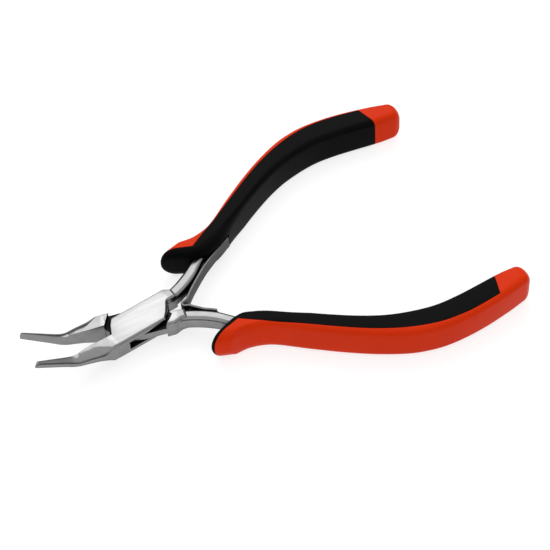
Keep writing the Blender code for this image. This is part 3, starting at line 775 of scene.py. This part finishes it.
# Rounding of an end along the grip, across its width and through its thickness.
NOSE_ROUND = (2.8, 2.8, 2.8)
TAIL_ROUND = (3.0, 2.3, 3.0)
LEAST_WIDTH = 0.4
END_ANGLES = (0, 12, 24, 36, 48, 60, 72, 82, 90)
END_STATIONS = 8
SKIN = 1.3
SEAM = 0.08
GRIP_STATIONS = 105
GRIP_INNER = [(26.1, 7.0), (29.7, 7.3), (34.3, 9.3), (40.0, 12.6), (48.0, 16.3), (56.0, 19.5), (63.0, 21.5),
              (70.0, 22.35), (76.0, 22.3), (82.0, 21.2), (88.0, 19.6), (94.0, 17.9), (102.2, 15.9)]
GRIP_OUTER = [(14.6, 14.7), (15.9, 16.3), (19.5, 16.3), (24.4, 14.6), (29.8, 14.6), (35.0, 16.3),
              (42.0, 20.0), (50.0, 24.0), (58.0, 27.4), (66.0, 29.9), (72.0, 30.65), (77.0, 30.5),
              (83.0, 29.4), (89.0, 27.7), (95.0, 25.5), (103.8, 22.0)]
COLOUR_LINE = [(24.7, 10.6), (28.8, 12.5), (34.0, 14.8), (41.5, 18.3), (49.5, 22.1), (56.8, 25.2),
               (63.7, 27.4), (70.1, 28.6), (75.7, 28.9), (80.9, 28.3), (85.5, 27.3), (92.8, 25.0)]
COLLAR_OUTER = (13.9, 16.5)
SKIN_END_INNER = (94.2, 14.0)
REGION_LEFT = -10.0
REGION_LOW = -20.0


def end_rings(station, inward, inset, corner, rounding):
    centre, spread_out = station
    along, across, through = rounding
    half_thickness = GRIP_THICKNESS / 2 - inset
    rings = []
    for angle in END_ANGLES:
        turn = math.radians(angle)
        depth = inset + along * (1 - math.cos(turn))
        width = max(LEAST_WIDTH, spread_out.length - inset - across * (1 - math.sin(turn)))
        thickness = half_thickness - through * (1 - math.sin(turn))
        place = centre + inward * depth
        rings.append(rounded_ring(place, spread_out.normalized(), width, thickness, corner))
    return rings


def grip_loft(name, inset):
    """The whole grip, or the same shape shrunk by an inset."""
    inner = by_length(smooth_line(GRIP_INNER, 12), GRIP_STATIONS)
    outer = by_length(smooth_line(GRIP_OUTER, 12), GRIP_STATIONS)
    stations = [((a + b) / 2, (b - a) / 2) for a, b in zip(inner, outer)]
    corner = GRIP_CORNER - inset * 0.5
    nose_corner = NOSE_CORNER - inset * 0.5
    nose_inward = (stations[END_STATIONS][0] - stations[0][0]).normalized()
    tail_inward = (stations[-END_STATIONS - 1][0] - stations[-1][0]).normalized()
    rings = end_rings(stations[0], nose_inward, inset, nose_corner, NOSE_ROUND)
    for index, (centre, spread_out) in enumerate(stations[END_STATIONS:-END_STATIONS]):
        here = max(corner, nose_corner - NOSE_FADE * index)
        width = spread_out.length - inset
        rings.append(rounded_ring(centre, spread_out.normalized(), width, GRIP_THICKNESS / 2 - inset, here))
    rings += reversed(end_rings(stations[-1], tail_inward, inset, corner, TAIL_ROUND))
    return loft(name, rings)


def skin_region(grow):
    colour = [Vector(point) for point in smooth_line(COLOUR_LINE, 6)]
    edge = [Vector(COLLAR_OUTER), *colour, Vector(SKIN_END_INNER)]
    edge = offset_line(edge, grow)
    outline = [tuple(point) for point in edge]
    outline += [(edge[-1].x, REGION_LOW), (REGION_LEFT, REGION_LOW), (REGION_LEFT, edge[0].y)]
    return slab("skin_region", outline, -GRIP_THICKNESS, GRIP_THICKNESS)


print("grip:", GRIP_OUTER[-1][0] - GRIP_OUTER[0][0], "mm long,", GRIP_THICKNESS, "mm thick")

# %% [markdown]
# The core keeps the outer strip and all that lies deeper than the skin, and the skin is a hollow
# shell.  A hair-wide seam is left between the two, which draws the colour line on the finished grip.

# %% Moulding the core and the skin
def build_core(name):
    core = grip_loft(name, 0.0)
    combine(core, skin_region(SEAM), "DIFFERENCE")
    combine(core, grip_loft("inside", SKIN + SEAM), "UNION")
    combine(core, build_bar("tang", SEAM), "DIFFERENCE")
    return core


def build_skin(name):
    skin = grip_loft(name, 0.0)
    combine(skin, skin_region(0.0), "INTERSECT")
    combine(skin, grip_loft("hollow", SKIN), "DIFFERENCE")
    combine(skin, build_bar("tang", SEAM), "DIFFERENCE")
    return skin


upper_core = build_core("upper_grip_core_moulded")
lower_core = build_core("lower_grip_core_moulded")
upper_skin = build_skin("upper_grip_skin")
lower_skin = build_skin("lower_grip_skin")
for moulding in (upper_core, lower_core, upper_skin, lower_skin):
    print(moulding.name, len(moulding.data.polygons), "faces")

# %% [markdown]
# ## The leaf spring
#
# A strip of hardened steel is bent into a narrow V.  Its short arm is riveted to the lower shank,
# and its long arm slides in a shallow seat in the upper grip.  A strip that follows a path is a
# job for Geometry Nodes: the path is a curve, the section is a rectangle with rounded corners, and
# the width, the thickness and the corner are named inputs.

# %% The spring's path
LEAF_THICKNESS = 0.7
LEAF_WIDTH = 3.7
LEAF_UPPER = [(35.6, 9.8), (32.0, 8.6), (28.5, 7.1), (25.1, 5.5), (22.4, 3.95), (19.7, 2.25), (17.2, 0.6),
              (15.6, -0.6), (14.2, -1.6)]
LEAF_BEND_CENTRE = (13.2, -0.4)
LEAF_BEND_RADIUS = 0.75
LEAF_LOWER = [(14.1, -0.85), (15.2, 0.05), (16.1, 0.7)]
LEAF_LOWER_TOUCH = 17.4
LEAF_FOOT_END = 20.7
RIVET_AT = 19.0
REST_GAP = 0.3
FOOT_GAP = 0.03
BEND_ANGLES = range(244, 117, -8)
SPRING_STATIONS = 160


def bar_between(distance, x_low, x_high):
    """A stretch of the line that runs beside the handle bar at a distance."""
    bar = offset_line([Vector(point) for point in smooth_line(BAR_LINE, 16)], distance)
    return [point for point in bar if x_low <= point.x <= x_high]


def turned(points, degrees):
    turn = Matrix.Rotation(math.radians(degrees), 2)
    return [turn @ Vector(point) for point in points]


foot = bar_between(-(SHANK_HALF_WIDTH + FOOT_GAP + LEAF_THICKNESS / 2), LEAF_LOWER_TOUCH, LEAF_FOOT_END)
foot = [tuple(point) for point in reversed(foot[::4])]
lower_arm = [(x, -y) for x, y in smooth_line(foot + list(reversed(LEAF_LOWER)), 4)]
upper_arm = smooth_line(list(reversed(LEAF_UPPER)), 6)
bend = []
for angle in BEND_ANGLES:
    turn = math.radians(angle)
    bend.append(Vector(LEAF_BEND_CENTRE) + Vector((math.cos(turn), math.sin(turn))) * LEAF_BEND_RADIUS)
spring_path = turned(lower_arm, -REST_HALF_ANGLE) + bend + turned(upper_arm, REST_HALF_ANGLE)
spring_path = by_length(spring_path, SPRING_STATIONS)
print("spring path:", len(spring_path), "points")

# %% [markdown]
# The node tree takes the path as a curve, makes a rounded rectangle for the section and sweeps it
# with Curve to Mesh.  The curve's normals point up, so the strip never twists.  The result is
# turned into a plain mesh, because the export drops what a modifier would make later.

# %% A node tree that sweeps a strip
LEAF_CORNER = 0.16
LEAF_SHARP_ANGLE = 30.0


def sweep_tree(material):
    tree = bpy.data.node_groups.new("swept_strip", "GeometryNodeTree")
    tree.interface.new_socket("Geometry", in_out="INPUT", socket_type="NodeSocketGeometry")
    for name in ("Width", "Thickness", "Corner"):
        tree.interface.new_socket(name, in_out="INPUT", socket_type="NodeSocketFloat")
    tree.interface.new_socket("Geometry", in_out="OUTPUT", socket_type="NodeSocketGeometry")
    start = tree.nodes.new("NodeGroupInput")
    section = tree.nodes.new("GeometryNodeCurvePrimitiveQuadrilateral")
    fillet = node(tree, "GeometryNodeFilletCurve", mode="POLY", Count=4)
    upright = node(tree, "GeometryNodeSetCurveNormal", mode="Z_UP")
    sweep = node(tree, "GeometryNodeCurveToMesh", Fill_Caps=True)
    realize = tree.nodes.new("GeometryNodeRealizeInstances")
    paint = node(tree, "GeometryNodeSetMaterial", Material=material)
    end = tree.nodes.new("NodeGroupOutput")
    link = tree.links.new
    link(start.outputs["Width"], section.inputs["Height"])
    link(start.outputs["Thickness"], section.inputs["Width"])
    link(section.outputs["Curve"], fillet.inputs["Curve"])
    link(start.outputs["Corner"], fillet.inputs["Radius"])
    link(start.outputs["Geometry"], upright.inputs["Curve"])
    link(upright.outputs["Curve"], sweep.inputs["Curve"])
    link(fillet.outputs["Curve"], sweep.inputs["Profile Curve"])
    link(sweep.outputs["Mesh"], realize.inputs["Geometry"])
    link(realize.outputs["Geometry"], paint.inputs["Geometry"])
    link(paint.outputs["Geometry"], end.inputs["Geometry"])
    return tree


def sweep_strip(name, path, material, width, thickness, corner):
    """Sweep a rounded strip along a path that is already in its place (path in metres)."""
    curve = bpy.data.curves.new(name + "_path", "CURVE")
    curve.dimensions = "3D"
    spline = curve.splines.new("POLY")
    spline.points.add(len(path) - 1)
    for point, place in zip(spline.points, path):
        point.co = (*place, 1.0)
    carrier = bpy.data.objects.new(name + "_path", curve)
    workshop.objects.link(carrier)
    modifier = carrier.modifiers.new("sweep", "NODES")
    modifier.node_group = sweep_tree(material)
    sizes = {"Width": width, "Thickness": thickness, "Corner": corner}
    for socket in modifier.node_group.interface.items_tree:
        if socket.in_out == "INPUT" and socket.name in sizes:
            modifier[socket.identifier] = sizes[socket.name] * MM
    bpy.context.view_layer.update()
    graph = bpy.context.evaluated_depsgraph_get()
    mesh = bpy.data.meshes.new_from_object(carrier.evaluated_get(graph))
    bpy.data.objects.remove(carrier, do_unlink=True)
    strip = bpy.data.objects.new(name, mesh)
    workshop.objects.link(strip)
    return strip


in_place = [PIN + Vector((point.x, point.y, 0.0)) * MM for point in spring_path]
leaf = sweep_strip("leaf_spring_strip", in_place, spring_steel, LEAF_WIDTH, LEAF_THICKNESS, LEAF_CORNER)
clean(leaf, LEAF_SHARP_ANGLE)
leaf.data.materials.clear()
leaf.data.materials.append(spring_steel)
print(leaf.name, len(leaf.data.polygons), "faces")

# %% [markdown]
# The spring's seat is cut from the upper skin along the same path, a little longer than the spring,
# because the free end slides towards the end of the grip when the tool closes.

# %% The seat in the upper skin
SEAT_FROM = 22.0
SEAT_RUN_OUT = 1.0
SEAT_CUT = 4.0
seat = [Vector(point) for point in smooth_line(list(reversed(LEAF_UPPER)), 6)]
seat = [point for point in seat if point.x > SEAT_FROM]
seat.append(seat[-1] + (seat[-1] - seat[-2]).normalized() * SEAT_RUN_OUT)
seat_top = offset_line(seat, LEAF_THICKNESS / 2 + REST_GAP)
seat_bottom = offset_line(seat, -SEAT_CUT)
seat_outline = [tuple(point) for point in seat_top + list(reversed(seat_bottom))]
seat_half = LEAF_WIDTH / 2 + REST_GAP
combine(upper_skin, slab("seat", seat_outline, -seat_half, seat_half), "DIFFERENCE")
set_in_place(upper_skin, False, rubber)
set_in_place(lower_skin, True, rubber)
set_in_place(upper_core, False, orange)
set_in_place(lower_core, True, orange)

# %% [markdown]
# One small rivet holds the spring's foot.  Its head is a low dome, so it is turned on the lathe and
# then laid along the direction that points out of the shank.

# %% The rivet
RIVET_RADIUS = 0.7
RIVET_DEPTH = 2.2
RIVET_READING = 0.6
near = bar_between(0.0, RIVET_AT - RIVET_READING, RIVET_AT + RIVET_READING)
rivet_tangent = (near[-1] - near[0]).normalized()
rivet_out = Vector((rivet_tangent.y, -rivet_tangent.x))
rivet_foot = (near[0] + near[-1]) / 2 + rivet_out * SHANK_HALF_WIDTH
head_low = FOOT_GAP + LEAF_THICKNESS
dome = [(1.15, 0.02), (1.15, 0.1), (1.0, 0.26), (0.7, 0.38), (0.3, 0.44)]
profile = [(RIVET_RADIUS, -RIVET_DEPTH), (RIVET_RADIUS, head_low - 0.02)]
profile += [(radius, head_low + height) for radius, height in dome]
rivet = lathe("leaf_spring_rivet_domed", profile, 40)
aim = Vector((rivet_out.x, rivet_out.y, 0.0)).to_track_quat("Z", "Y").to_matrix().to_4x4()
rivet.data.transform(Matrix.Translation((rivet_foot.x * MM, rivet_foot.y * MM, 0.0)) @ aim)
set_in_place(rivet, True, pin_steel)

# %% [markdown]
# ## Which piece moves with what
#
# The box half carries the pin and the upper grip; the tongue half carries the lower grip and the
# rivet.  The spring touches both, its foot on the tongue half and its free end in the upper grip,
# but it rides on neither body: it stays fixed where it lies.

# %% Riding on the two bodies
rides = [
    (box_half, BOX_BODY, "box_half", "polished_steel"),
    (pin, BOX_BODY, "pivot_pin", "ground_pin_steel"),
    (upper_core, BOX_BODY, "upper_grip_core", "orange_plastic"),
    (upper_skin, BOX_BODY, "upper_grip_overmould", "black_rubber"),
    (tenon_half, TENON_BODY, "tenon_half", "polished_steel"),
    (rivet, TENON_BODY, "leaf_spring_rivet", "ground_pin_steel"),
    (lower_core, TENON_BODY, "lower_grip_core", "orange_plastic"),
    (lower_skin, TENON_BODY, "lower_grip_overmould", "black_rubber"),
]
for piece, body, stands_for, slot in rides:
    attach(piece, body)
    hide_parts(stands_for)
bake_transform(leaf)
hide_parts("leaf_spring")

# %% [markdown]
# ## The table, the light and the camera
#
# The tool lies on a plain pale table that glows a little, as a photographer's light table does, so
# the shadows stay faint.  Polished steel shows nothing but its surroundings, so the light is built
# for it: a big soft box where the flat cheeks mirror it towards the viewer, a dark strip at the
# horizon that draws dark lines along rounded edges, and a bright even sky for the rest.

# %% The table
TABLE_SIZE = 2.0
PAPER = (0.3, 0.3, 0.3)
LIGHT_PAPER = (0.31, 0.31, 0.31)
PAPER_GLOW = 0.76
bm = bmesh.new()
bmesh.ops.create_grid(bm, x_segments=2, y_segments=2, size=TABLE_SIZE)
table_mesh = bpy.data.meshes.new("table")
bm.to_mesh(table_mesh)
bm.free()
table = bpy.data.objects.new("table", table_mesh)
bpy.context.scene.collection.objects.link(table)
paper, tree, shader = start_material("pale_table")
tooth = stretched_noise(tree, EVEN, 900.0)
tree.links.new(mix_colours(tree, tooth, PAPER, LIGHT_PAPER), shader.inputs["Base Color"])
shader.inputs["Roughness"].default_value = 0.9
shader.inputs["Emission Color"].default_value = (1.0, 1.0, 1.0, 1.0)
shader.inputs["Emission Strength"].default_value = PAPER_GLOW
shader.inputs["Specular IOR Level"].default_value = 0.1
table.data.materials.append(paper)
table.location.z = -0.0002
print("table laid")

# %% [markdown]
# The sky is one Color Ramp on the height of the view ray: nearly black at the horizon, white
# overhead.  A large soft box stands where the cheeks mirror it, and large means soft shadows too.

# %% The light
SKY_STRENGTH = 1.05
HORIZON = 0.03
OVERHEAD_FROM = 0.6
SKY_BANDS = ((0.16, 0.05), (0.36, 0.5))
bpy.context.scene.view_settings.view_transform = "Standard"
world = bpy.data.worlds.new("studio")
bpy.context.scene.world = world
world.use_nodes = True
sky = world.node_tree
background = sky.nodes["Background"]
place = sky.nodes.new("ShaderNodeTexCoord")
split = sky.nodes.new("ShaderNodeSeparateXYZ")
bands = sky.nodes.new("ShaderNodeValToRGB")
sky.links.new(place.outputs["Generated"], split.inputs["Vector"])
sky.links.new(split.outputs["Z"], bands.inputs["Fac"])
sky.links.new(bands.outputs["Color"], background.inputs["Color"])
ramp = bands.color_ramp.elements
ramp[0].color = (HORIZON, HORIZON, HORIZON, 1.0)
ramp[1].position = OVERHEAD_FROM
ramp[1].color = (1.0, 1.0, 1.0, 1.0)
for height, grey in SKY_BANDS:
    ramp.new(height).color = (grey, grey, grey, 1.0)
background.inputs["Strength"].default_value = SKY_STRENGTH


def soft_box(name, towards, distance, size, power):
    lamp = bpy.data.lights.new(name, "AREA")
    lamp.shape = "SQUARE"
    lamp.size = size
    lamp.energy = power
    stand = bpy.data.objects.new(name, lamp)
    direction = Vector(towards).normalized()
    stand.location = PIN + direction * distance
    stand.rotation_euler = direction.to_track_quat("Z", "Y").to_euler()
    bpy.context.scene.collection.objects.link(stand)
    print("soft box:", name, power, "W")


soft_box("cheek_light", (0.25, 0.6, 0.76), 0.9, 0.7, 2.4)

# %% [markdown]
# The camera looks down on the tool at about fifty degrees with a long lens, so that the two handles
# keep nearly the same scale.  Its three directions are given as they stand in the room.

# %% The camera
VIEW_RIGHT = (0.89638, -0.44049, -0.04975)
VIEW_UP = (0.36251, 0.66379, 0.6542)
VIEW_BACK = (-0.25514, -0.60444, 0.75469)
VIEW_FROM = (-77.46, -278.89, 346.11)
camera_data = bpy.data.cameras.new("camera")
camera_data.lens = 109.876
camera_data.sensor_width = 36.0
camera = bpy.data.objects.new("camera", camera_data)
turn = Matrix((VIEW_RIGHT, VIEW_UP, VIEW_BACK)).transposed().to_4x4()
camera.matrix_world = Matrix.Translation(PIN + Vector(VIEW_FROM) * MM) @ turn
bpy.context.scene.collection.objects.link(camera)
bpy.context.scene.camera = camera
print("camera", [round(value, 3) for value in camera.location])
